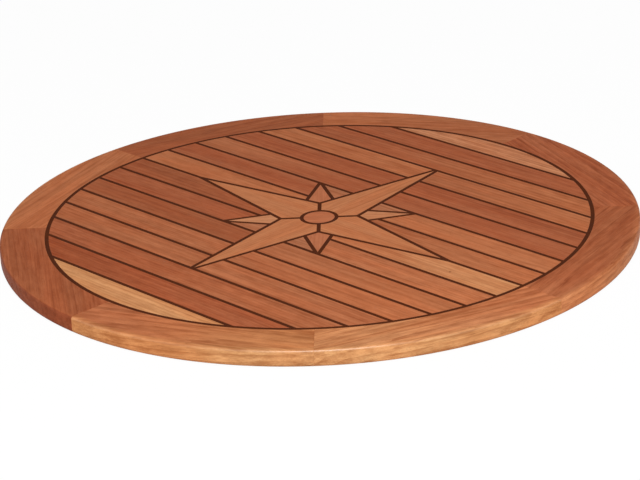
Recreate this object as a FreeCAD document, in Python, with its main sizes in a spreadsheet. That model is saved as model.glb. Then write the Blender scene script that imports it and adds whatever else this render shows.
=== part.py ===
import FreeCAD, Part
import os
import Sketcher

# A round table top made like a boat's deck: a ring of teak segments round a plywood core,
# faced with teak strips and a compass rose, with dark seams poured between the face pieces.
# The origin is at the centre of the underside, +Z is up, and the strips run along X.

driving_sizes = {
    # The whole top
    "table_diameter": 800,
    "table_thickness": 22,
    "top_edge_radius": 3.5,
    "bottom_edge_radius": 6.5,
    "edge_facets": 4,
    # The rim and its joints
    "rim_segments": 8,
    "rim_width": 56.25,
    "rim_seam_width": 5,
    "spline_margin": 8,
    "spline_width": 30,
    "spline_length": 32,
    "spline_thickness": 5,
    "spline_clearance": 0.2,
    # The boards under the face
    "core_thickness": 12,
    "backing_thickness": 3,
    "tongue_thickness": 6,
    "tongue_length": 10,
    "board_clearance": 0.2,
    # The face strips
    "rows_per_side": 8,
    "seam_width": 5,
    # The compass rose
    "star_points": 4,
    "long_point_rows": 5,
    "long_point_reach": 10.5,
    "short_point_rows": 2,
    "short_point_reach": 3,
    "waist_radius": 48.5,
    "short_point_root": 33.4,
    "disc_radius": 19.5,
    # How far a cutting solid runs past what it cuts
    "overrun": 5,
}

doc = FreeCAD.newDocument("BoatTable")
sheet = doc.addObject("Spreadsheet::Sheet", "Sizes")
for row_number, (alias, number) in enumerate(driving_sizes.items(), start=1):
    sheet.set(f"A{row_number}", alias)
    sheet.set(f"B{row_number}", str(number))
    sheet.setAlias(f"B{row_number}", alias)
doc.recompute()

# Sizes that follow from the driving ones, written as expressions on the sheet
table_radius = "(Sizes.table_diameter / 2)"
rim_inner_radius = f"({table_radius} - Sizes.rim_width)"
deck_radius = f"({rim_inner_radius} - Sizes.rim_seam_width)"
strip_pitch = f"(({rim_inner_radius} - Sizes.rim_seam_width / 2) / Sizes.rows_per_side)"
core_top = "(Sizes.backing_thickness + Sizes.core_thickness)"
face_thickness = f"(Sizes.table_thickness - {core_top})"
half_seam = "(Sizes.seam_width / 2)"
segment_angle = "(360 / Sizes.rim_segments)"
tongue_bottom = "(Sizes.backing_thickness + (Sizes.core_thickness - Sizes.tongue_thickness) / 2)"
tongue_top = f"({tongue_bottom} + Sizes.tongue_thickness)"
groove_depth_radius = f"({rim_inner_radius} + Sizes.tongue_length)"
spline_inner_radius = f"({groove_depth_radius} + Sizes.spline_margin)"
spline_outer_radius = f"({spline_inner_radius} + Sizes.spline_width)"
spline_bottom = "((Sizes.table_thickness - Sizes.spline_thickness) / 2)"
spline_top = f"({spline_bottom} + Sizes.spline_thickness)"

turn_axis = FreeCAD.Vector(0, 0, 1)
nodes = []


def value(expression):
    """The number that an expression on the sheet comes to."""
    return float(sheet.evalExpression(expression))


def name_node(item, name):
    """Gives a finished sub-part its own label and puts it on the list to be written."""
    item.Label = name
    nodes.append(item)
    return item


def turned(degrees):
    """A placement that turns a piece about the table's own axis."""
    return FreeCAD.Placement(FreeCAD.Vector(0, 0, 0), FreeCAD.Rotation(turn_axis, degrees))


def dimension(sketch, kind, references, expression):
    """Adds one dimension to a sketch and binds it to the sheet."""
    index = sketch.addConstraint(Sketcher.Constraint(kind, *references, value(expression)))
    sketch.setExpression(f"Constraints[{index}]", expression)


def place_corner(sketch, line, x, y):
    """Holds the start of a line at x, y from the sketch's origin, or on an axis where that is zero."""
    for kind, axis, distance in (("DistanceX", -2, x), ("DistanceY", -1, y)):
        if distance == "0":
            sketch.addConstraint(Sketcher.Constraint("PointOnObject", line, 1, axis))
        else:
            dimension(sketch, kind, (-1, 1, line, 1), distance)


def draw_polygon(sketch, corners):
    """A closed outline of straight lines through corners that are given as expressions."""
    points = [FreeCAD.Vector(value(x), value(y), 0) for x, y in corners]
    for start, end in zip(points, points[1:] + points[:1]):
        sketch.addGeometry(Part.LineSegment(start, end))
    for line in range(len(corners)):
        following = (line + 1) % len(corners)
        sketch.addConstraint(Sketcher.Constraint("Coincident", line, 2, following, 1))
    for line, (x, y) in enumerate(corners):
        place_corner(sketch, line, x, y)


def draw_rectangle(sketch, low_x, low_y, high_x, high_y):
    """A rectangle between two opposite corners."""
    draw_polygon(sketch, [(low_x, low_y), (high_x, low_y), (high_x, high_y), (low_x, high_y)])


def draw_circle(sketch, radius):
    """A circle about the sketch's origin."""
    circle = sketch.addGeometry(Part.Circle(FreeCAD.Vector(0, 0, 0), turn_axis, value(radius)))
    sketch.addConstraint(Sketcher.Constraint("Coincident", circle, 3, -1, 1))
    dimension(sketch, "Radius", (circle,), radius)


def extrude(outline, name, upwards, downwards="0"):
    """A solid of even thickness above, and if asked below, a flat outline."""
    solid = doc.addObject("Part::Extrusion", name)
    solid.Base = outline
    solid.DirMode = "Normal"
    solid.Solid = True
    solid.setExpression("LengthFwd", upwards)
    solid.setExpression("LengthRev", downwards)
    return solid


def join(kind, name, items):
    """One solid from many, or their common part."""
    result = doc.addObject(kind, name)
    result.Shapes = items
    return result


def cut(name, base, tool):
    """One solid less another."""
    result = doc.addObject("Part::Cut", name)
    result.Base = base
    result.Tool = tool
    return result


def origin_feature(body, role):
    """One of a body's own origin planes or axes, found by its role."""
    return next(item for item in body.Origin.OriginFeatures if item.Role == role)


def sketch_on(body, role, name, height="0"):
    """A new sketch on one of a body's origin planes, raised along the plane's normal."""
    sketch = body.newObject("Sketcher::SketchObject", name)
    sketch.AttachmentSupport = (origin_feature(body, role), [""])
    sketch.MapMode = "FlatFace"
    if height != "0":
        sketch.setExpression("AttachmentOffset.Base.z", height)
    return sketch


def pad_disc(body, name, radius, low, thickness):
    """Adds a round board to a body, from the height low upwards."""
    sketch = sketch_on(body, "XY_Plane", f"{name}_outline", low)
    draw_circle(sketch, radius)
    pad = body.newObject("PartDesign::Pad", name)
    pad.Profile = sketch
    pad.setExpression("Length", thickness)


# Boards: the plywood core with a tongue round its edge, and the thin panel under it


def make_boards():
    """The core sits on the backing panel, and its tongue reaches into the groove of the rim."""
    core = doc.addObject("PartDesign::Body", "core_board")
    board_radius = f"({rim_inner_radius} - Sizes.board_clearance)"
    pad_disc(core, "board", board_radius, "Sizes.backing_thickness", "Sizes.core_thickness")
    tongue_radius = f"({board_radius} + Sizes.tongue_length)"
    pad_disc(core, "tongue", tongue_radius, tongue_bottom, "Sizes.tongue_thickness")
    name_node(core, "core_board")

    backing = doc.addObject("PartDesign::Body", "backing_panel")
    pad_disc(backing, "panel", board_radius, "0", "Sizes.backing_thickness")
    name_node(backing, "backing_panel")


# Rim: eight equal teak segments, butted end to end, with a loose tongue across each joint


def rounded_edge(radius, level, sign):
    """Corners along an edge rounded in even steps of angle, from the flat side to the upright one."""
    facets = int(value("Sizes.edge_facets"))
    right_angle = 90
    corners = [(f"{table_radius} - {radius}", level)]
    for step in range(1, facets):
        angle = f"{right_angle * step / facets}deg"
        corners.append((f"{table_radius} - {radius} * (1 - sin({angle}))",
                        f"{level} {sign} {radius} * (1 - cos({angle}))"))
    corners.append((table_radius, f"{level} {sign} {radius}"))
    return corners


def draw_rim_profile(sketch):
    """The rim's section: square inside, with a small top rounding and a larger lower one outside."""
    top = "Sizes.table_thickness"
    draw_polygon(sketch, [
        (rim_inner_radius, "0"),
        *rounded_edge("Sizes.bottom_edge_radius", "0", "+"),
        *reversed(rounded_edge("Sizes.top_edge_radius", top, "-")),
        (rim_inner_radius, top)])


def turn_section(body, kind, name, sketch):
    """Turns a section about the table's axis through one segment, half to each side of the section."""
    feature = body.newObject(kind, name)
    feature.Profile = sketch
    feature.ReferenceAxis = (origin_feature(body, "Z_Axis"), [""])
    feature.Midplane = True
    feature.setExpression("Angle", segment_angle)


def cut_spline_slots(body):
    """A blind slot in each end of the segment, half as deep as the loose tongue is long."""
    sketch = sketch_on(body, "XZ_Plane", "slot_section")
    sketch.AttachmentOffset = FreeCAD.Placement(
        FreeCAD.Vector(0, 0, 0), FreeCAD.Rotation(FreeCAD.Vector(0, 1, 0), value(segment_angle) / 2))
    sketch.setExpression("AttachmentOffset.Rotation.Angle", f"{segment_angle} / 2")
    draw_rectangle(
        sketch,
        f"{spline_inner_radius} - Sizes.spline_clearance", f"{spline_bottom} - Sizes.spline_clearance",
        f"{spline_outer_radius} + Sizes.spline_clearance", f"{spline_top} + Sizes.spline_clearance")
    slot = body.newObject("PartDesign::Pocket", "slot")
    slot.Profile = sketch
    slot.Reversed = True
    slot.setExpression("Length", "Sizes.spline_length / 2 + Sizes.spline_clearance")
    doc.recompute()
    other_slot = body.newObject("PartDesign::Mirrored", "other_slot")
    other_slot.Originals = [slot]
    other_slot.MirrorPlane = (origin_feature(body, "XZ_Plane"), [""])
    body.Tip = other_slot


def make_rim():
    """Each segment is turned from one section, grooved for the tongue and slotted at both ends."""
    for number in range(1, int(value("Sizes.rim_segments")) + 1):
        body = doc.addObject("PartDesign::Body", f"rim_segment_{number}")
        section = sketch_on(body, "XZ_Plane", "rim_section")
        draw_rim_profile(section)
        turn_section(body, "PartDesign::Revolution", "segment", section)
        groove_section = sketch_on(body, "XZ_Plane", "groove_section")
        draw_rectangle(
            groove_section,
            f"{rim_inner_radius} - Sizes.overrun", f"{tongue_bottom} - Sizes.board_clearance",
            groove_depth_radius, f"{tongue_top} + Sizes.board_clearance")
        turn_section(body, "PartDesign::Groove", "tongue_groove", groove_section)
        cut_spline_slots(body)
        body.Placement = turned((number - 1 + 1 / 2) * value(segment_angle))
        name_node(body, f"rim_segment_{number}")


def make_splines():
    """One flat loose tongue across each rim joint, half in each segment."""
    splines = []
    for number in range(int(value("Sizes.rim_segments"))):
        outline = doc.addObject("Sketcher::SketchObject", "spline_outline")
        outline.Placement = turned(number * value(segment_angle))
        outline.setExpression("Placement.Base.z", spline_bottom)
        draw_rectangle(outline, spline_inner_radius, "-Sizes.spline_length / 2",
                       spline_outer_radius, "Sizes.spline_length / 2")
        splines.append(extrude(outline, "spline", "Sizes.spline_thickness"))
    group = doc.addObject("Part::Compound", "rim_splines")
    group.Links = splines
    name_node(group, "rim_splines")


# Face pieces: each is drawn on the middle lines of its seams and drawn in by half a seam


def offset_outline(outline, name, distance):
    """The outline drawn in or out by a distance, with its corners kept sharp."""
    result = doc.addObject("Part::Offset2D", name)
    result.Source = outline
    result.Join = "Intersection"
    result.setExpression("Value", distance)
    return result


def face_blank(name, corners, degrees):
    """The blank of one piece of the rose, and the bed that the pieces round it leave for it."""
    outline = doc.addObject("Sketcher::SketchObject", f"{name}_outline")
    outline.Placement = turned(degrees)
    outline.setExpression("Placement.Base.z", core_top)
    draw_polygon(outline, corners)
    inset = offset_outline(outline, f"{name}_inset", f"-{half_seam}")
    blank = extrude(inset, f"{name}_blank", face_thickness)
    outset = offset_outline(outline, f"{name}_outset", half_seam)
    bed = extrude(outset, f"{name}_bed", f"{face_thickness} + Sizes.overrun", "Sizes.overrun")
    return blank, bed


def face_cylinder(name, radius, past="0"):
    """A round solid as thick as the face, or running past it at both sides."""
    cylinder = doc.addObject("Part::Cylinder", name)
    cylinder.setExpression("Radius", radius)
    cylinder.setExpression("Height", f"{face_thickness} + 2 * {past}")
    cylinder.setExpression("Placement.Base.z", f"{core_top} - {past}")
    return cylinder


def make_rose():
    """Four long points round a disc, four short points between them, and the beds that they lie in.

    The lines beside a point meet a little past the seam of the row that it ends at, which brings the
    tip of the wood itself to that seam.
    """
    points = int(value("Sizes.star_points"))
    full_turn = 360
    step = full_turn / points
    diagonal = f"{step / 2}deg"
    waist_x = f"Sizes.waist_radius * cos({diagonal})"
    waist_y = f"Sizes.waist_radius * sin({diagonal})"
    long_tip = f"Sizes.long_point_rows * {strip_pitch} + Sizes.long_point_reach"
    short_tip = f"Sizes.short_point_rows * {strip_pitch} / cos({diagonal}) + Sizes.short_point_reach"
    long_corners = [("0", "0"), (waist_x, f"-{waist_y}"), (long_tip, "0"), (waist_x, waist_y)]
    short_corners = [("0", "-Sizes.short_point_root"), (short_tip, "0"), ("0", "Sizes.short_point_root")]

    disc_bed = face_cylinder("disc_bed", "Sizes.disc_radius + Sizes.seam_width", "Sizes.overrun")
    long_beds = []
    for number in range(1, points + 1):
        blank, bed = face_blank(f"long_{number}", long_corners, (number - 1) * step)
        long_beds.append(bed)
        name = f"star_long_point_{number}"
        name_node(cut(name, blank, disc_bed), name)
    long_bed = join("Part::MultiFuse", "long_bed", long_beds)

    short_beds = []
    for number in range(1, points + 1):
        blank, bed = face_blank(f"short_{number}", short_corners, (number - 1 / 2) * step)
        short_beds.append(bed)
        name = f"star_short_point_{number}"
        name_node(cut(name, blank, long_bed), name)
    star_bed = join("Part::MultiFuse", "star_bed", [long_bed, *short_beds])

    name_node(face_cylinder("star_disc", "Sizes.disc_radius"), "star_disc")
    return long_bed, star_bed


def side_quarter(name, degrees):
    """A square prism with one corner on the table's axis, which holds the quarter round one side."""
    prism = doc.addObject("Part::Box", name)
    prism.setExpression("Length", f"2 * {deck_radius}")
    prism.setExpression("Width", f"2 * {deck_radius}")
    prism.setExpression("Height", f"{face_thickness} + 2 * Sizes.overrun")
    quarter_start = 45
    prism.Placement = turned(degrees - quarter_start)
    prism.setExpression("Placement.Base.z", f"{core_top} - Sizes.overrun")
    return prism


def plank(name, row, upper, outermost, side):
    """A straight board in one row of the deck, whole or only to one side of the middle, cut round."""
    near_edge = f"({row} * {strip_pitch} + {half_seam})"
    far_edge = deck_radius if outermost else f"({row + 1} * {strip_pitch} - {half_seam})"
    board = doc.addObject("Part::Box", f"{name}_board")
    board.setExpression("Length", deck_radius if side else f"2 * {deck_radius}")
    board.setExpression("Width", f"{far_edge} - {near_edge}")
    board.setExpression("Height", face_thickness)
    board.setExpression("Placement.Base.x", "0" if side == "right" else f"-{deck_radius}")
    board.setExpression("Placement.Base.y", near_edge if upper else f"-{far_edge}")
    board.setExpression("Placement.Base.z", core_top)
    deck_edge = face_cylinder(f"{name}_edge", deck_radius, "Sizes.overrun")
    return join("Part::MultiCommon", f"{name}_plank", [board, deck_edge])


def make_strips(long_bed, star_bed):
    """Rows of strips, counted from the +Y side. The rows that meet the rose are in two or more pieces."""
    rows_per_side = int(value("Sizes.rows_per_side"))
    long_rows = int(value("Sizes.long_point_rows"))
    short_rows = int(value("Sizes.short_point_rows"))
    half_turn = 180
    quarters = {"right": side_quarter("right_quarter", 0), "left": side_quarter("left_quarter", half_turn)}
    upper_rows = [(row, True) for row in reversed(range(rows_per_side))]
    lower_rows = [(row, False) for row in range(rows_per_side)]
    for number, (row, upper) in enumerate(upper_rows + lower_rows, start=1):
        strip = f"strip_{number:02d}"
        outermost = row == rows_per_side - 1
        if row >= long_rows:
            name_node(plank(strip, row, upper, outermost, None), strip)
            continue
        for side, quarter in quarters.items():
            name = f"{strip}_{side}"
            bed = star_bed if row < short_rows else long_bed
            piece = cut(f"{name}_cut", plank(name, row, upper, outermost, side), bed)
            if row == short_rows - 1:
                wedge = f"{name}_wedge"
                name_node(cut(wedge, piece, quarter), wedge)
                piece = join("Part::MultiCommon", f"{name}_outer", [piece, quarter])
            name_node(piece, name)


# Seams: dark rubber, poured between the face pieces and round the deck, and sanded flush


def make_seams(face_pieces):
    """One net of rubber, which fills the face inside the rim wherever no piece of wood lies."""
    laid_pieces = doc.addObject("Part::Compound", "laid_pieces")
    laid_pieces.Links = face_pieces
    poured_disc = face_cylinder("poured_disc", rim_inner_radius)
    name_node(cut("seam_caulk", poured_disc, laid_pieces), "seam_caulk")


def check_and_write():
    """Stops at any failed object or sub-part, and otherwise writes each sub-part to its own file."""
    doc.recompute()
    for item in doc.Objects:
        if "Invalid" in item.State or "Error" in item.State:
            raise RuntimeError(f"{item.Label} failed: {item.State}")
    for node in nodes:
        if node.Shape.isNull() or not node.Shape.isValid() or not node.Shape.Solids:
            raise RuntimeError(f"{node.Label} has no valid solid")
    os.makedirs("parts", exist_ok=True)
    for node in nodes:
        node.Shape.exportStep(f"parts/{node.Label}.step")


make_boards()
make_rim()
make_splines()
first_face_piece = len(nodes)
rose_beds = make_rose()
make_strips(*rose_beds)
make_seams(nodes[first_face_piece:])
check_and_write()
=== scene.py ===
import math

import bpy
import numpy as np
from mathutils import Matrix, Vector


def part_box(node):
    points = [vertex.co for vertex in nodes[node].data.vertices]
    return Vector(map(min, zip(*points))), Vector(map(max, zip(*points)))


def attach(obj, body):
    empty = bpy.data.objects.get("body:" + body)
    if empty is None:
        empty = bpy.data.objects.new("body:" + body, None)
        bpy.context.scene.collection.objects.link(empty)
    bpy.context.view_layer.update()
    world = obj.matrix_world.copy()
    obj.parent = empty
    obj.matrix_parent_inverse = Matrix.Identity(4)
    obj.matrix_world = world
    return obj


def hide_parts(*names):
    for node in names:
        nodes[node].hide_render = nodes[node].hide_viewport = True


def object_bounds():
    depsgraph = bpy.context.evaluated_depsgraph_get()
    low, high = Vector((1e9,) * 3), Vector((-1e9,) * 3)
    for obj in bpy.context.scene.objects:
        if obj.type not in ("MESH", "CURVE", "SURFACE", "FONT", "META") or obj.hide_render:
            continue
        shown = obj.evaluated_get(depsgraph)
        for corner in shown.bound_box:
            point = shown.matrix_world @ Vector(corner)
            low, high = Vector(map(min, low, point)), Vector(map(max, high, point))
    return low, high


# A round table top for a boat, laid like a deck: teak strips and a compass rose in a segmented teak rim.
# Lengths are metres. The origin is the middle of the underside, +Z is up and the strips run along X.

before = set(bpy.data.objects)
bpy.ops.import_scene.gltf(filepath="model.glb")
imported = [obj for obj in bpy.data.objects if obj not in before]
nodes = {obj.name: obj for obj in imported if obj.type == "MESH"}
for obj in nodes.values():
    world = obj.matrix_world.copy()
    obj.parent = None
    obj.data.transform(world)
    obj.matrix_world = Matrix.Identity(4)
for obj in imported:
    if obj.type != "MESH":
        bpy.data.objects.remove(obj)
cad_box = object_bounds()

# Core board and loose tongues
# The face lies on a board of marine plywood: thin veneers glued with their grain crossed. A tongue round
# its edge sits in a groove of the rim, and flat loose tongues of the same plywood lock the rim's joints.


class Shade:
    """One output of a shader node. Operators on it add Math nodes, and add() puts in any other kind."""

    def __init__(self, tree, socket=None):
        self.tree = tree
        self.socket = socket

    def add(self, kind, settings, inputs, output=0):
        """A node of that kind: first its settings, then a value or a link for each of its inputs."""
        node = self.tree.nodes.new(kind)
        for name, setting in settings.items():
            setattr(node, name, setting)
        for name, given in inputs.items():
            if isinstance(given, Shade):
                self.tree.links.new(given.socket, node.inputs[name])
            else:
                node.inputs[name].default_value = given
        return Shade(self.tree, node.outputs[output] if node.outputs else None)

    def maths(self, operation, *others):
        """A Math node with this value as its first term."""
        return self.add("ShaderNodeMath", {"operation": operation}, dict(enumerate((self, *others))))

    def vector(self, operation, *others, output=0):
        """A Vector Math node with this vector as its first term."""
        terms = dict(enumerate((self, *others)))
        return self.add("ShaderNodeVectorMath", {"operation": operation}, terms, output)

    def mix(self, share, first, second, blend="MIX"):
        """A colour that goes from the first to its blend with the second as the share goes from 0 to 1.
        A Mix node takes the share at input 0 and colours at 6 and 7, and gives a colour at output 2."""
        settings = {"data_type": "RGBA", "blend_type": blend}
        return self.add("ShaderNodeMix", settings, {0: share, 6: first, 7: second}, 2)

    def tint(self, share, tone, other):
        """This colour, taken towards what it would be with the other tone: times other over tone."""
        change = (*(after / before for after, before in zip(other[:3], tone[:3])), 1.0)
        return self.mix(share, self, change, "MULTIPLY")

    def noise(self, waves, detail):
        """Noise read at this place, from 0 to 1, with so many waves to the metre along each axis."""
        stretched = self.vector("MULTIPLY", waves)
        return self.add("ShaderNodeTexNoise", {}, {"Vector": stretched, "Scale": 1, "Detail": detail})

    def rise(self, low, high):
        """A smooth step from 0 below low to 1 above high."""
        inputs = {"Value": self, "From Min": low, "From Max": high}
        return self.add("ShaderNodeMapRange", {"interpolation_type": "SMOOTHSTEP"}, inputs)

    def __add__(self, other):
        return self.maths("ADD", other)

    def __sub__(self, other):
        return self.maths("SUBTRACT", other)

    def __rsub__(self, other):
        return self.add("ShaderNodeMath", {"operation": "SUBTRACT"}, {0: other, 1: self})

    def __mul__(self, other):
        return self.maths("MULTIPLY", other)

    def __truediv__(self, other):
        return self.maths("DIVIDE", other)

    def __pow__(self, other):
        return self.maths("POWER", other)

    __radd__ = __add__
    __rmul__ = __mul__


def start_material(name):
    """An empty material, and the object coordinates that its patterns are read at."""
    material = bpy.data.materials.new(name)
    material.use_nodes = True
    material.node_tree.nodes.clear()
    return material, Shade(material.node_tree).add("ShaderNodeTexCoord", {}, {}, "Object")


def finish_material(colour, roughness, height, relief, gloss, polish=0.0):
    """The surface shader: a colour, a roughness and a height that vary, the depth of the height in metres,
    the gloss of the bare surface, and how much satin polish lies over it."""
    polish_roughness = 0.3
    bump = height.add("ShaderNodeBump", {}, {"Strength": 1.0, "Distance": relief, "Height": height})
    inputs = {"Base Color": colour, "Roughness": roughness, "Specular IOR Level": gloss, "Normal": bump,
              "Coat Weight": polish, "Coat Roughness": polish_roughness}
    surface = height.add("ShaderNodeBsdfPrincipled", {}, inputs)
    height.add("ShaderNodeOutputMaterial", {}, {"Surface": surface})


def paint(red, green, blue):
    """A colour as a screen shows it, from 0 to 255 in each channel, as the linear values for a socket."""
    shown = np.array([red, green, blue]) / 255
    linear = np.where(shown <= 0.04045, shown / 12.92, ((shown + 0.055) / 1.055) ** 2.4)
    return (*linear.tolist(), 1.0)


def plywood(name):
    """Plies stacked along Z, every other one with its grain turned across, and dark glue lines between."""
    ply = 0.0015
    along, across = 9, 420
    face_veneer = paint(196, 158, 112)
    cross_veneer = paint(164, 122, 82)
    glue = paint(96, 66, 42)
    material, place = start_material(name)
    level = place.vector("DOT_PRODUCT", (0, 0, 1 / ply), output="Value")
    turned = (level / 2).maths("FRACT").rise(0.47, 0.53)
    from_middle = (level.maths("FRACT") - 0.5).maths("ABSOLUTE")
    glue_line = from_middle.rise(0.4, 0.5)
    lengthwise = place.noise((along, across, across), 4)
    crosswise = place.noise((across, along, across), 4)
    grain = lengthwise + turned * (crosswise - lengthwise)
    veneer = place.mix(turned * 0.7 + grain * 0.5 - 0.1, face_veneer, cross_veneer)
    colour = place.mix(glue_line * 0.7, veneer, glue)
    finish_material(colour, 0.62 + grain * 0.2, grain - glue_line, relief=0.0002, gloss=0.3)
    return material


plywood_material = plywood("bare_plywood")
for hidden in ("core_board", "rim_splines"):
    nodes[hidden].material_slots[0].material = plywood_material

# Backing panel
# A thin sheet faced with teak veneer closes the underside, flush with the rim, and balances the face so
# that the top stays flat. The veneer is laid in leaves side by side, sliced one below the other.


def shaded(colour, red, green, blue):
    """A colour with each of its channels taken times a share."""
    return (colour[0] * red, colour[1] * green, colour[2] * blue, 1.0)


def teak(place, board, tones, cut, figure, faded_at=0.5, knot=None, edge=None):
    """Solid teak, cut from a log. Rings are cylinders about the log's axis, one every few millimetres, and
    slow noise bends them. Late wood darkens each ring towards its outer side. Bands, mottle, streaks and
    fibres are noise drawn out along the axis. All of these add up, and take the colour from pale to dark.

    The board is its middle, the heading of its grain in degrees and its length. Places along it run from
    -0.5 to 0.5. The tones are the colour at its start and the one beyond the place where that has faded.
    The cut says how it lay in the log: the tilt of its face against the axis in degrees, how far to one
    side the heart was, how far below, and a place along the log. The figure says how wide the rings are,
    how strongly the grain shows and how far it wavers. A pin knot is a place and a radius. An edge is a
    mask that rises to 1 on the outer edge, the share of polish there, and the edge's tones at both ends,
    which make the side a lit copy of the wood, with painted sheen and painted shade.
    """
    centre, heading, length = board
    tone, far_tone = tones
    tilt, aside, below, along = cut
    ring_width, strength, waver = figure
    pale = shaded(tone, 1.24, 1.30, 1.36)
    dark = shaded(tone, 0.72, 0.62, 0.56)
    ruddy = shaded(tone, 1.02, 0.88, 0.80)
    gum_brown = shaded(tone, 0.62, 0.50, 0.44)
    pore_brown = shaded(tone, 0.42, 0.34, 0.30)

    turn = Matrix.Rotation(math.radians(tilt), 3, "Y") @ Matrix.Rotation(-math.radians(heading), 3, "Z")
    heart = Vector((along, aside, below)) - turn @ Vector(centre)
    mapping = {"Vector": place, "Location": heart, "Rotation": turn.to_euler()}
    log = place.add("ShaderNodeMapping", {}, mapping)
    position = log.vector("DOT_PRODUCT", (1 / length, 0, 0), output="Value") - along / length

    def drawn_out(waves_along, waves_across, detail):
        """Noise about zero with so many waves to the metre along the log and across it."""
        return log.noise((waves_along, waves_across, waves_across), detail) - 0.5

    bend = drawn_out(2.2, 16, 2) * waver
    ripple = drawn_out(1.1, 75, 1) * ring_width
    distance = log.vector("MULTIPLY", (0, 1, 1)).vector("LENGTH", output="Value") + bend + ripple
    if knot is not None:
        knot_centre, knot_radius = knot
        reach = place.vector("DISTANCE", knot_centre, output="Value") / knot_radius
        distance = distance + (1 - reach.rise(0, 5)) * (1.6 * knot_radius)

    ring = (distance / ring_width).maths("FRACT")
    late_wood = ring ** 2.5
    bands = drawn_out(0.9, 42, 2)
    mottle = drawn_out(40, 130, 3)
    streaks = drawn_out(5.5, 190, 4)
    fibres = drawn_out(30, 950, 4)
    pores = drawn_out(130, 2600, 1).rise(0.12, 0.22) * (1 - ring * 0.6)
    gum = drawn_out(1.3, 130, 1).rise(0.12, 0.28)
    cloud = drawn_out(7, 45, 3).rise(-0.15, 0.15)

    middle_grain = 0.45
    usual_late_wood = 0.3
    marks = late_wood - usual_late_wood + bands * 2.2 + mottle * 3 + streaks * 3.6 + fibres * 2.4
    wood = log.mix(middle_grain + marks * strength, pale, dark)
    wood = wood.tint(cloud * 0.7, tone, ruddy)
    wood = log.mix(gum * 0.45, wood, gum_brown)
    wood = log.mix(pores * 0.5, wood, pore_brown)
    if knot is not None:
        wood = log.mix((1 - reach.rise(0.5, 1.3)) * 0.95, wood, pore_brown)

    # The shift to the far tone is partly the wood's own and, on boards that grow lighter towards the lamp,
    # partly a painted pool of light.
    colour = wood.tint(position.rise(-0.5, faded_at), tone, far_tone)
    roughness = 0.52 + fibres * 0.25 + pores * 0.2
    polish = 0.0
    if edge is not None:
        mask, polish, (edge_tone_with_light, far_edge_tone_with_light) = edge
        end_grain = position * position * 1.2 * (0.5 + streaks * 2)
        fade = position.rise(-0.5, 0.5)
        # The side is the wood taken to the edge's tones: a lit copy, painted sheen where paler, painted
        # shade where darker.
        side = log.mix(end_grain, wood, gum_brown).tint(1.0, tone, edge_tone_with_light)
        side = side.tint(fade * fade, edge_tone_with_light, far_edge_tone_with_light)
        colour = log.mix(mask.rise(0.05, 0.6), colour, side)
        roughness = roughness - mask * 0.1
    finish_material(colour, roughness, fibres * 0.4 - pores, relief=0.00012, gloss=0.012, polish=polish)


backing_teak = paint(158, 104, 70)
leaf_width = 0.114
leaf_slip = {"X": 0.013, "Y": -leaf_width, "Z": 0.0007}
backing_low, backing_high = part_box("backing_panel")
backing_board = ((0, leaf_width / 2, backing_low.z), 0, backing_high.x - backing_low.x)
backing_material, backing_place = start_material("teak_backing")
leaf = backing_place.vector("DOT_PRODUCT", (0, 1 / leaf_width, 0), output="Value").maths("FLOOR")
slips = {axis: leaf * slip for axis, slip in leaf_slip.items()}
leaf_place = backing_place.vector("ADD", backing_place.add("ShaderNodeCombineXYZ", {}, slips))
teak(leaf_place, backing_board, (backing_teak, backing_teak),
     cut=(2.2, 0.012, 0.055, 0.3), figure=(0.0085, 0.28, 0.016))
nodes["backing_panel"].material_slots[0].material = backing_material

# Rim
# Eight segments of solid teak, sawn to the curve from straight boards and butted end to end, so that the
# grain runs along each chord. The outer edge is rounded, more below than above. A groove takes the core.

straw_teak = paint(194, 133, 88)
wheat_teak = paint(184, 135, 90)
sand_teak = paint(185, 127, 80)
honey_teak = paint(186, 121, 79)
amber_teak = paint(178, 114, 70)
tan_teak = paint(180, 109, 70)
russet_teak = paint(171, 102, 66)
brick_teak = paint(163, 91, 58)
umber_teak = paint(157, 88, 55)
mahogany_teak = paint(136, 70, 43)

table_radius = cad_box[1].x
table_thickness = cad_box[1].z
rim_inner_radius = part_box("seam_caulk")[1].x
top_edge_radius = 0.0035
bottom_edge_radius = 0.0065
groove_depth = 0.010
groove_bottom = 0.0058
groove_top = 0.0122
joint_arris = 0.00025
# The band next to the edge over which the top takes on the side's painted sheen.
painted_sheen_band = 0.012
rounding_points = 9
rim_steps = 49
crease_angle = math.radians(35)


def arc(centre_radius, centre_height, radius, start, stop):
    """Points of an arc in the section, as radius and height, from one angle in degrees to another."""
    angle = np.radians(np.linspace(start, stop, rounding_points))
    return np.stack([centre_radius + radius * np.cos(angle), centre_height + radius * np.sin(angle)], 1)


def rim_section():
    """The rim's section as a closed loop of radius and height, from the inner lower corner outwards. One
    point on the top marks where a band along the edge begins, over which the top takes on the side's
    painted sheen."""
    groove_radius = rim_inner_radius + groove_depth
    return np.vstack([
        [(rim_inner_radius, 0)],
        arc(table_radius - bottom_edge_radius, bottom_edge_radius, bottom_edge_radius, -90, 0),
        arc(table_radius - top_edge_radius, table_thickness - top_edge_radius, top_edge_radius, 0, 90),
        [(table_radius - painted_sheen_band, table_thickness), (rim_inner_radius, table_thickness),
         (rim_inner_radius, groove_top), (groove_radius, groove_top),
         (groove_radius, groove_bottom), (rim_inner_radius, groove_bottom)]])


def outward(loop):
    """The outward direction at each point of a loop that runs anticlockwise, from its two neighbours."""
    along = np.roll(loop, -1, 0) - np.roll(loop, 1, 0)
    normal = np.stack([along[:, 1], -along[:, 0]], 1)
    return normal / np.linalg.norm(normal, axis=1, keepdims=True)


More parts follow.
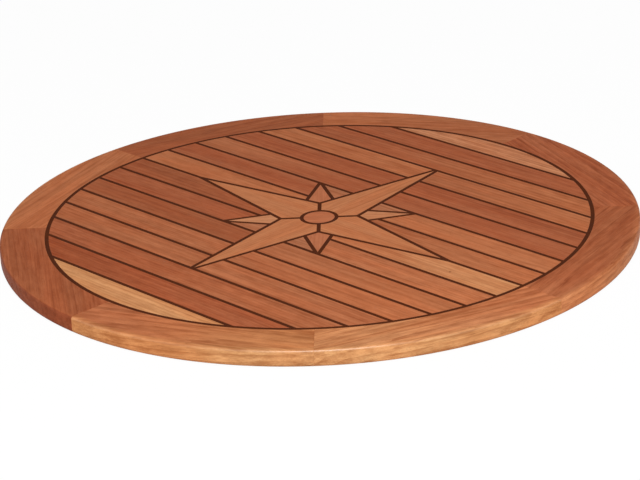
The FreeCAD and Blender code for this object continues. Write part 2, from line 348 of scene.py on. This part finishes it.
def rim_mesh(name, start, stop, spread):
    """The section carried round the table's axis, from one angle in degrees to another: a point at radius
    r and height h goes to (r cos a, r sin a, h). The end sections are drawn in, which eases the joints.

    It carries two masks. The edge mask is the square of how far the surface faces outwards, and where the
    top starts to round it is at least the spread. The rounding mask peaks low on the upper rounding: it is
    the cube of how far the surface faces outwards, times how far it faces up, taken to 1 at its highest.
    """
    section = rim_section()
    facing_out, facing_up = outward(section).T
    ease = joint_arris / table_radius
    angle = np.radians(np.linspace(start, stop, rim_steps))
    angle = np.concatenate([angle[:1], angle[:1] + ease, angle[1:-1], angle[-1:] - ease, angle[-1:]])
    drawn_in = np.zeros(len(angle))
    drawn_in[[0, -1]] = joint_arris
    loops = section - drawn_in[:, None, None] * outward(section)
    radius, height = loops[..., 0], loops[..., 1]
    points = np.stack([radius * np.cos(angle)[:, None], radius * np.sin(angle)[:, None], height], -1)
    steps, count = radius.shape
    index = np.arange(steps * count).reshape(steps, count)
    following = np.roll(index, -1, 1)
    walls = np.stack([index[:-1], index[1:], following[1:], following[:-1]], -1).reshape(-1, 4)
    faces = [*walls.tolist(), index[0].tolist(), index[-1, ::-1].tolist()]
    mesh = bpy.data.meshes.new(name)
    mesh.from_pydata(points.reshape(-1, 3).tolist(), [], faces)
    mesh.polygons.foreach_set("use_smooth", np.ones(len(mesh.polygons), bool))
    mesh.set_sharp_from_angle(angle=crease_angle)

    just_inside = 1.01
    rounding_scale = 3.2
    on_edge = section[:, 0] > table_radius - just_inside * bottom_edge_radius
    masks = {"edge": np.maximum(facing_out ** 2, spread * (facing_up > 0.5)),
             "rounding": np.clip(rounding_scale * facing_out ** 3 * facing_up, 0, 1)}
    for mask_name, values in masks.items():
        mask = mesh.attributes.new(mask_name, "FLOAT", "POINT")
        mask.data.foreach_set("value", np.tile(np.where(on_edge, values, 0), steps))
    return mesh


# The slant is how far the grain turns off the chord, in degrees. A board that names no fading place,
# spread or polish of its own has the plain ones. The edge tones paint light on the rim's side: paler
# sides, palest on the lamp's side, are painted sheen, and the darker side of segment 6 is painted shade.
# The spread is the share of that painted side tone laid over the band along the top's edge.
plain_rim = dict(faded_at=0.5, spread=0.35, polish=0.1)
# The two tones of segments 1, 7 and 8 make them lighter towards the lamp's side: partly the wood's own
# change along the board, partly a painted pool of light.
rim_boards = [
    dict(tones=(russet_teak, umber_teak), edge_tones_with_light=(honey_teak, tan_teak), slant=-9,
         cut=(1.6, 0.028, 0.050, 0.00), figure=(0.0085, 0.42, 0.016), faded_at=-0.28),
    dict(tones=(brick_teak, brick_teak), edge_tones_with_light=(tan_teak, tan_teak), slant=0,
         cut=(1.4, 0.040, 0.045, 0.90), figure=(0.0075, 0.42, 0.016)),
    dict(tones=(russet_teak, tan_teak), edge_tones_with_light=(tan_teak, tan_teak), slant=9,
         cut=(1.0, 0.070, 0.030, 1.80), figure=(0.0060, 0.34, 0.012)),
    dict(tones=(umber_teak, umber_teak), edge_tones_with_light=(russet_teak, russet_teak), slant=4,
         cut=(1.2, 0.060, 0.030, 2.70), figure=(0.0060, 0.34, 0.012)),
    dict(tones=(tan_teak, tan_teak), edge_tones_with_light=(honey_teak, honey_teak), slant=-4,
         cut=(1.2, 0.050, 0.040, 3.60), figure=(0.0070, 0.28, 0.012)),
    dict(tones=(umber_teak, umber_teak), edge_tones_with_light=(mahogany_teak, mahogany_teak), slant=-13,
         cut=(0.8, 0.080, 0.020, 4.50), figure=(0.0055, 0.32, 0.012), spread=0.0),
    dict(tones=(russet_teak, amber_teak), edge_tones_with_light=(sand_teak, wheat_teak), slant=0,
         cut=(2.2, 0.026, 0.064, 5.40), figure=(0.0080, 0.45, 0.014), polish=0.8),
    dict(tones=(straw_teak, tan_teak), edge_tones_with_light=(wheat_teak, sand_teak), slant=2,
         cut=(2.0, 0.038, 0.056, 6.30), figure=(0.0080, 0.50, 0.014), polish=0.8),
]
rim_span = 360 / len(rim_boards)
chord = 2 * table_radius * math.sin(math.radians(rim_span / 2))
chord_radius = (rim_inner_radius + table_radius) / 2
for number, own_values in enumerate(rim_boards, start=1):
    board = {**plain_rim, **own_values}
    start, stop = (number - 1) * rim_span, number * rim_span
    middle = (start + stop) / 2
    mesh = rim_mesh(f"rim_{number}", start, stop, board["spread"])
    segment = bpy.data.objects.new(f"rim_{number}", mesh)
    bpy.context.scene.collection.objects.link(segment)
    to_middle = Matrix.Rotation(math.radians(middle), 3, "Z")
    chord_middle = to_middle @ Vector((chord_radius, 0, table_thickness))
    along_grain = middle + 90 + board["slant"]
    rim_material, rim_place = start_material(f"teak_rim_{number}")
    rim_edge, rim_rounding = [
        rim_place.add("ShaderNodeAttribute", {"attribute_name": mask_name}, {}, "Fac")
        for mask_name in ("edge", "rounding")]
    teak(rim_place, (chord_middle, along_grain, chord), board["tones"], board["cut"], board["figure"],
         board["faded_at"], edge=(rim_edge, rim_rounding * board["polish"], board["edge_tones_with_light"]))
    segment.data.materials.append(rim_material)
    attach(segment, "root")
    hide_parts(f"rim_segment_{number}")

# Deck strips
# Boards of solid teak glued down side by side, with gaps for the seams. The rose cuts ten of the sixteen
# rows in two. The boards come from several logs, so a cut row can differ in tone from left to right.

cream_teak = paint(196, 137, 90)
apricot_teak = paint(193, 127, 88)
fawn_teak = paint(171, 108, 74)
sienna_teak = paint(153, 79, 47)
# A board's second tone is its colour towards +X, on the lamp's side. Most are lighter there: partly the
# wood's own change along its length, partly a painted pool of light.
strip_tones = {
    "strip_01": (apricot_teak, apricot_teak), "strip_02": (brick_teak, brick_teak),
    "strip_03": (brick_teak, tan_teak),
    "strip_04_left": (tan_teak, tan_teak), "strip_04_right": (russet_teak, tan_teak),
    "strip_05_left": (brick_teak, brick_teak), "strip_05_right": (brick_teak, brick_teak),
    "strip_06_left": (russet_teak, brick_teak), "strip_06_right": (brick_teak, brick_teak),
    "strip_07_left": (brick_teak, brick_teak), "strip_07_right": (tan_teak, tan_teak),
    "strip_07_left_wedge": (fawn_teak, fawn_teak), "strip_07_right_wedge": (fawn_teak, fawn_teak),
    "strip_08_left": (tan_teak, tan_teak), "strip_08_right": (russet_teak, tan_teak),
    "strip_09_left": (umber_teak, umber_teak), "strip_09_right": (tan_teak, straw_teak),
    "strip_10_left": (brick_teak, brick_teak), "strip_10_right": (russet_teak, tan_teak),
    "strip_10_left_wedge": (fawn_teak, fawn_teak), "strip_10_right_wedge": (fawn_teak, fawn_teak),
    "strip_11_left": (umber_teak, umber_teak), "strip_11_right": (russet_teak, tan_teak),
    "strip_12_left": (russet_teak, russet_teak), "strip_12_right": (russet_teak, tan_teak),
    "strip_13_left": (russet_teak, russet_teak), "strip_13_right": (russet_teak, russet_teak),
    "strip_14": (brick_teak, russet_teak), "strip_15": (sienna_teak, brick_teak),
    "strip_16": (cream_teak, cream_teak),
}
strip_cut_limits = ((-0.8, 0.8), (0.05, 0.09), (0.01, 0.04), (0, 9))
strip_ring_limits = (0.004, 0.0075)
strip_strength_limits = (0.24, 0.36)
strip_waver = 0.010
pin_knots = {"strip_09_right": ((0.247, -0.024, table_thickness), 0.0016)}
chance = np.random.default_rng(seed=11)


def teak_board(node, heading, tones, cut, figure, knot=None):
    """Gives a CAD piece its own board of teak, with the grain along a heading in degrees."""
    low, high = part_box(node)
    reach = high - low
    angle = math.radians(heading)
    length = abs(reach.x * math.cos(angle)) + abs(reach.y * math.sin(angle))
    material, place = start_material(f"teak_{node}")
    teak(place, ((low + high) / 2, heading, length), tones, cut, figure, knot=knot)
    nodes[node].material_slots[0].material = material


for name, tones in strip_tones.items():
    cut = [chance.uniform(*limits) for limits in strip_cut_limits]
    figure = (chance.uniform(*strip_ring_limits), chance.uniform(*strip_strength_limits), strip_waver)
    teak_board(name, 0, tones, cut, figure, pin_knots.get(name))

# Compass rose
# Four long points and four short ones round a small disc, each a piece of pale teak let in between the
# strips, with the grain along the point. Two of the short points and the disc come from a redder board.

rose_points = 4
rose_quarter = 360 / rose_points
rose_tilts = (-0.6, 0.6)
rose_asides = (0.06, 0.1)
rose_below = 0.02
rose_alongs = (0, 9)
rose_figure = (0.0045, 0.21, 0.006)
disc_heading = 45
disc_cut = (1.5, 0.05, 0.03, 0.5)
long_teak = paint(187, 119, 78)
pale_teak = paint(189, 127, 88)
red_teak = paint(178, 108, 73)
for number in range(1, rose_points + 1):
    heading = (number - 1) * rose_quarter
    short_teak = pale_teak if number % 2 else red_teak
    for kind, tone, turn in (("long", long_teak, 0), ("short", short_teak, rose_quarter / 2)):
        tilt, aside = chance.uniform(*rose_tilts), chance.uniform(*rose_asides)
        cut = (tilt, aside, rose_below, chance.uniform(*rose_alongs))
        teak_board(f"star_{kind}_point_{number}", heading + turn, (tone, tone), cut, rose_figure)
teak_board("star_disc", disc_heading, (red_teak, red_teak), disc_cut, rose_figure)

# Seams
# Dark brown rubber is poured between all the pieces of the face and round the deck, and sanded flush when
# it has set. The sanding leaves it dull, with fine scratches and a little wood dust in it.


def seam_rubber(name):
    """Rubber that is mottled by slow noise, specked with dust and scratched by the sander."""
    rubber = paint(72, 33, 15)
    faded = paint(88, 43, 22)
    dust = paint(140, 90, 58)
    material, place = start_material(name)
    mottle = place.noise((60, 60, 60), 3).rise(0.35, 0.7)
    specks = place.noise((1400, 1400, 1400), 1).rise(0.66, 0.74)
    scratches = place.noise((2600, 300, 300), 2) - 0.5
    colour = place.mix(specks * 0.35, place.mix(mottle * 0.5, rubber, faded), dust)
    finish_material(colour, 0.6 + mottle * 0.15, scratches + specks, relief=0.0001, gloss=0.012)
    return material


nodes["seam_caulk"].material_slots[0].material = seam_rubber("seam_rubber")

# Floor, light and camera
# A plain pale floor that fades into a white background and keeps a faint shadow, one large soft lamp from
# the side of the viewer, and even light from all round.

floor_radius = 12
floor_pinhole = 0.001
floor_rings = 3
floor_steps = 97
floor_drop = 0.0002
floor_white = (0.92, 0.92, 0.92, 1.0)
pure_white = (1, 1, 1, 1)
shadow_share = 0.05


def floor_mesh():
    """A flat disc round a pinhole under the table: a grid of radius and angle, where radius r and angle a
    go to (r cos a, r sin a)."""
    radii = np.linspace(floor_pinhole, floor_radius, floor_rings)
    radius, angle = np.meshgrid(radii, np.linspace(0, 2 * np.pi, floor_steps), indexing="ij")
    height = np.full(radius.shape, -floor_drop)
    points = np.stack([radius * np.cos(angle), radius * np.sin(angle), height], -1)
    index = np.arange(radius.size).reshape(radius.shape)
    faces = np.stack([index[:-1, :-1], index[1:, :-1], index[1:, 1:], index[:-1, 1:]], -1).reshape(-1, 4)
    mesh = bpy.data.meshes.new("floor")
    mesh.from_pydata(points.reshape(-1, 3).tolist(), [], faces.tolist())
    return mesh


def seen_directly(shade):
    """1 for what the camera, a glossy surface or a clear one sees, and 0 for what lights a surface."""
    camera_ray, glossy_ray, clear_ray = (
        shade.add("ShaderNodeLightPath", {}, {}, ray)
        for ray in ("Is Camera Ray", "Is Glossy Ray", "Is Transmission Ray"))
    return camera_ray.maths("MAXIMUM", glossy_ray).maths("MAXIMUM", clear_ray)


floor = bpy.data.objects.new("floor", floor_mesh())
bpy.context.scene.collection.objects.link(floor)
floor_material, floor_place = start_material("pale_floor")
floor_lit = floor_place.add("ShaderNodeBsdfDiffuse", {}, {"Color": floor_white})
floor_glow = floor_place.add("ShaderNodeEmission", {}, {"Color": pure_white, "Strength": 1.0})
floor_share = seen_directly(floor_place) * (1 - shadow_share)
floor_surface = floor_place.add("ShaderNodeMixShader", {}, {0: floor_share, 1: floor_lit, 2: floor_glow})
floor_place.add("ShaderNodeOutputMaterial", {}, {"Surface": floor_surface})
floor.data.materials.append(floor_material)

sky_strength = 0.35
world = bpy.data.worlds.new("studio")
world.use_nodes = True
world.node_tree.nodes.clear()
sky = Shade(world.node_tree)
sky_level = sky_strength + seen_directly(sky) * (1 - sky_strength)
sky_light = sky.add("ShaderNodeBackground", {}, {"Color": pure_white, "Strength": sky_level})
sky.add("ShaderNodeOutputWorld", {}, {"Surface": sky_light})
bpy.context.scene.world = world

# The view's distance is to the middle of the face. That middle lies to the right of the picture's centre by
# view_aside, and over it by view_above. The lens is in millimetres.
view_heading = math.radians(46.94)
view_elevation = math.radians(22.06)
view_roll = math.radians(2.89)
view_distance = 3.187
view_aside = -0.0011
view_above = 0.0286
view_lens = 142.89
lamp_elevation = math.radians(40)
lamp_distance = 3.4
lamp_size = 2.0
lamp_power = 116


def facing(heading, elevation):
    """Unit vectors to the right, upwards and back towards the viewer, for a heading and an elevation."""
    level = math.cos(elevation)
    right = Vector((math.cos(heading), math.sin(heading), 0))
    back = Vector((math.sin(heading) * level, -math.cos(heading) * level, math.sin(elevation)))
    return right, back.cross(right), back


def stand(place, right, up, back):
    """The pose of a lamp or a camera: its place, with its own X, Y and Z axes along these directions."""
    return Matrix.Translation(place) @ Matrix((right, up, back)).transposed().to_4x4()


lamp_right, lamp_up, lamp_back = facing(view_heading, lamp_elevation)
lamp = bpy.data.lights.new("soft_lamp", "AREA")
lamp.shape = "DISK"
lamp.size = lamp_size
lamp.energy = lamp_power
lamp_object = bpy.data.objects.new("soft_lamp", lamp)
lamp_object.matrix_world = stand(lamp_back * lamp_distance, lamp_right, lamp_up, lamp_back)
bpy.context.scene.collection.objects.link(lamp_object)

view_right, view_up, view_back = facing(view_heading, view_elevation)
camera_right = math.cos(view_roll) * view_right - math.sin(view_roll) * view_up
camera_up = math.sin(view_roll) * view_right + math.cos(view_roll) * view_up
table_middle = Vector((0, 0, table_thickness))
off_centre = view_aside * camera_right + view_above * camera_up
camera_place = table_middle + view_distance * view_back - off_centre
camera = bpy.data.cameras.new("photo_view")
camera.lens = view_lens
camera_object = bpy.data.objects.new("photo_view", camera)
camera_object.matrix_world = stand(camera_place, camera_right, camera_up, view_back)
bpy.context.scene.collection.objects.link(camera_object)
bpy.context.scene.camera = camera_object
bpy.context.scene.view_settings.view_transform = "Standard"
